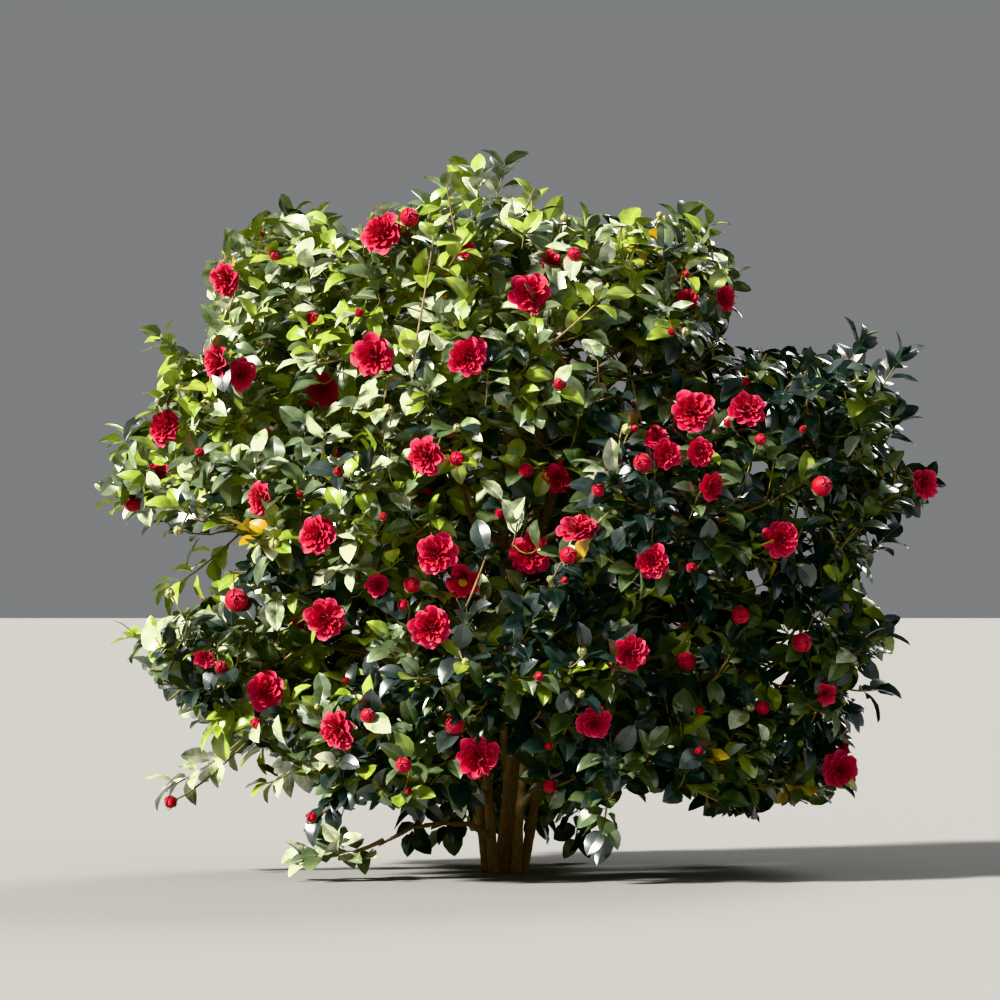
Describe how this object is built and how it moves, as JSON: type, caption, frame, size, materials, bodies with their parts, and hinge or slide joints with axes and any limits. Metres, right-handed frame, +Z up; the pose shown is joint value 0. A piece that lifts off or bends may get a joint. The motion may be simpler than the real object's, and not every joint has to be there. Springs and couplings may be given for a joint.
{
  "type": "camellia shrub",
  "caption": "Flowering camellia shrub: a clump of stems, boughs in tiers and a rounded crown of glossy leaves and double red blooms, rooted in level ground.",
  "frame": {"origin": "centre of the flat cut under the trunk, at ground level", "axes": "+Z up, -Y towards the side that the picture shows, +X to the right in it and along the crown's longest extent"},
  "size_m": [2.3005, 1.9054, 1.9476],
  "materials": {
    "bark": "fine matt grey-brown bark",
    "foliage": "glossy dark green leaves, with red double blooms among them"
  },
  "bodies": {
    "root": {"bough_ground_shoot": "bark", "bough_low_back_left": "bark", "bough_low_back_right": "bark", "bough_low_front": "bark", "bough_low_left": "bark", "bough_low_right": "bark", "bough_middle_back": "bark", "bough_middle_front_left": "bark", "bough_middle_front_right": "bark", "bough_middle_left": "bark", "bough_middle_right": "bark", "bough_shoulder_back_left": "bark", "bough_shoulder_back_right": "bark", "bough_shoulder_front": "bark", "bough_shoulder_left": "bark", "bough_shoulder_right": "bark", "bough_skirt_back": "bark", "bough_skirt_front_left": "bark", "bough_skirt_front_right": "bark", "bough_skirt_left": "bark", "bough_skirt_right": "bark", "foliage_ground_shoot": "foliage", "foliage_low_back_left": "foliage", "foliage_low_back_right": "foliage", "foliage_low_front": "foliage", "foliage_low_left": "foliage", "foliage_low_right": "foliage", "foliage_middle_back": "foliage", "foliage_middle_front_left": "foliage", "foliage_middle_front_right": "foliage", "foliage_middle_left": "foliage", "foliage_middle_right": "foliage", "foliage_peak": "foliage", "foliage_shoulder_back_left": "foliage", "foliage_shoulder_back_right": "foliage", "foliage_shoulder_front": "foliage", "foliage_shoulder_left": "foliage", "foliage_shoulder_right": "foliage", "foliage_skirt_back": "foliage", "foliage_skirt_front_left": "foliage", "foliage_skirt_front_right": "foliage", "foliage_skirt_left": "foliage", "foliage_skirt_right": "foliage", "foliage_top_back": "foliage", "foliage_top_front_left": "foliage", "foliage_top_front_right": "foliage", "foliage_top_left": "foliage", "foliage_top_right": "foliage", "stem_back": "bark", "stem_front_left": "bark", "stem_front_right": "bark", "stem_left": "bark", "stem_right": "bark", "trunk": "bark"}
  },
  "joints": []
}
